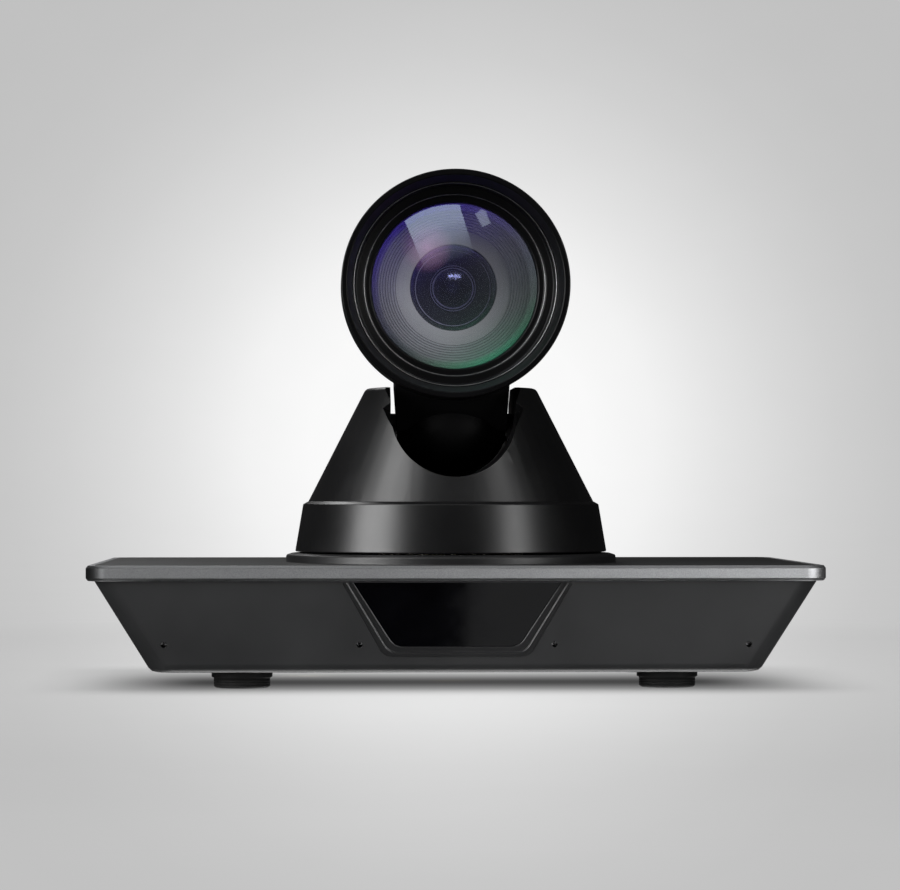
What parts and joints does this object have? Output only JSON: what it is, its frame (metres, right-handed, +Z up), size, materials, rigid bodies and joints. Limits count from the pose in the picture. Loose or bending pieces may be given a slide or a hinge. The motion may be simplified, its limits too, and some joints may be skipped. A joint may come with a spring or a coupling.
{
  "type": "ptz camera",
  "caption": "Pan-tilt-zoom conference camera: a round zoom head in a conical yoke on a turning drum, on a wide sloping base with a silver trim band.",
  "frame": {"origin": "on the table, under the middle of the base", "axes": "+Z up, -Y towards the front of the camera, +X to its left as it looks out"},
  "size_m": [0.24, 0.146, 0.17],
  "materials": {
    "tray_plastic": "fine satin moulding",
    "plate_plastic": "matte black moulding",
    "trim_metal": "bead blasted, clear anodised",
    "window_smoke": "polished, passes infrared",
    "board_green": "solder mask over glass fibre",
    "cast_metal": "plain machined",
    "foot_rubber": "matte",
    "capsule_metal": "drawn can",
    "sensor_dark": "dark epoxy on a small board",
    "port_black": "fine matte",
    "port_metal": "bright tin plate",
    "audio_green": "satin",
    "rocker_black": "satin",
    "switch_blue": "satin",
    "dial_cream": "satin",
    "brass": "turned",
    "bush_bronze": "sintered",
    "steel": "ground",
    "gear_nylon": "natural nylon",
    "screw_steel": "blackened and plain zinc",
    "shell_black": "satin, very fine spark texture",
    "hood_black": "satin, very fine spark texture",
    "motor_can": "satin",
    "lens_metal": "black anodised",
    "baffle_grey": "matte grey",
    "coated_glass": "violet anti-reflection coating",
    "carriage_black": "matte",
    "blade_black": "matte"
  },
  "bodies": {
    "base": {"base_tray": "tray_plastic", "top_plate": "plate_plastic", "trim_band": "trim_metal", "window_bezel": "plate_plastic", "ir_window": "window_smoke", "rear_panel": "plate_plastic", "main_board": "board_green", "heat_sink": "cast_metal", "rubber_feet": "foot_rubber", "mic_capsules": "capsule_metal", "ir_receiver": "sensor_dark", "dc_jack": "port_black", "hdmi_port": "port_metal", "usb_port": "port_metal", "lan_port": "port_metal", "sdi_port": "port_metal", "serial_ports": "port_black", "audio_port": "audio_green", "switch_housing": "port_black", "address_switch": "switch_blue", "tripod_insert": "brass", "pan_shaft": "steel", "pan_bearing": "steel", "pan_ring_gear": "gear_nylon", "case_screws": "screw_steel", "board_screws": "screw_steel"},
    "rocker": {"power_rocker": "rocker_black"},
    "dial": {"address_dial": "dial_cream"},
    "turret": {"drum_shell": "shell_black", "yoke_shell": "shell_black", "pan_chassis": "cast_metal", "pan_motor": "motor_can", "tilt_motor": "motor_can", "tilt_bushes": "bush_bronze", "motor_board": "board_green", "yoke_screws": "screw_steel"},
    "pan_drive": {"pan_pinion": "brass"},
    "tilt_drive": {"tilt_pinion": "brass"},
    "head": {"head_shell": "shell_black", "hood": "hood_black", "rear_cap": "shell_black", "lens_tube": "lens_metal", "front_lens": "coated_glass", "retainer_ring": "lens_metal", "baffle_ring": "baffle_grey", "second_lens": "coated_glass", "iris_housing": "lens_metal", "guide_rods": "steel", "lens_motors": "motor_can", "rear_bulkhead": "cast_metal", "sensor_board": "board_green", "tilt_shafts": "steel", "tilt_gear": "gear_nylon"},
    "zoom_carriage": {"zoom_group": "carriage_black"},
    "focus_carriage": {"focus_group": "carriage_black"},
    "zoom_leadscrew": {"zoom_screw": "steel"},
    "focus_leadscrew": {"focus_screw": "steel"},
    "upper_blade": {"iris_blade_upper": "blade_black"},
    "lower_blade": {"iris_blade_lower": "blade_black"}
  },
  "joints": [
    {"name": "pan", "type": "hinge", "parent": "base", "child": "turret", "pos_m": [0, -0.011, 0.05], "axis": [0, 0, 1], "range_deg": [-170, 170]},
    {"name": "tilt", "type": "hinge", "parent": "turret", "child": "head", "pos_m": [0, -0.011, 0.084], "axis": [-1, 0, 0], "range_deg": [-30, 30]},
    {"name": "pan_pinion_spin", "type": "hinge", "parent": "turret", "child": "pan_drive", "pos_m": [0, 0.0179, 0.045], "axis": [0, 0, 1], "range_deg": [-850, 850]},
    {"name": "tilt_pinion_spin", "type": "hinge", "parent": "turret", "child": "tilt_drive", "pos_m": [0.026, -0.011, 0.0679], "axis": [-1, 0, 0], "range_deg": [-90, 90]},
    {"name": "zoom", "type": "slide", "parent": "head", "child": "zoom_carriage", "axis": [0, -1, 0], "range_m": [-0.006, 0.006]},
    {"name": "focus", "type": "slide", "parent": "head", "child": "focus_carriage", "axis": [0, -1, 0], "range_m": [-0.0035, 0.0035]},
    {"name": "zoom_screw_spin", "type": "hinge", "parent": "head", "child": "zoom_leadscrew", "pos_m": [0, -0.011, 0.1519], "axis": [0, -1, 0], "range_deg": [-720, 720]},
    {"name": "focus_screw_spin", "type": "hinge", "parent": "head", "child": "focus_leadscrew", "pos_m": [0, -0.011, 0.1129], "axis": [0, -1, 0], "range_deg": [-420, 420]},
    {"name": "iris", "type": "slide", "parent": "head", "child": "upper_blade", "axis": [0, 0, 1], "range_m": [-0.004, 0.002]},
    {"name": "iris_lower", "type": "slide", "parent": "head", "child": "lower_blade", "axis": [0, 0, 1], "range_m": [-0.002, 0.004]},
    {"name": "power_switch", "type": "hinge", "parent": "base", "child": "rocker", "pos_m": [-0.07, 0.0592, 0.024], "axis": [1, 0, 0], "range_deg": [-16, 0]},
    {"name": "address_turn", "type": "hinge", "parent": "base", "child": "dial", "pos_m": [-0.05, 0.02, 0.008], "axis": [0, 0, 1], "continuous": true}
  ],
  "couplings": [
    {"joint": "pan_pinion_spin", "follows": "pan", "ratio": 5},
    {"joint": "tilt_pinion_spin", "follows": "tilt", "ratio": -3},
    {"joint": "zoom_screw_spin", "follows": "zoom", "rad_per_m": 2094.4},
    {"joint": "focus_screw_spin", "follows": "focus", "rad_per_m": 2094.4},
    {"joint": "iris_lower", "follows": "iris", "ratio": -1}
  ]
}
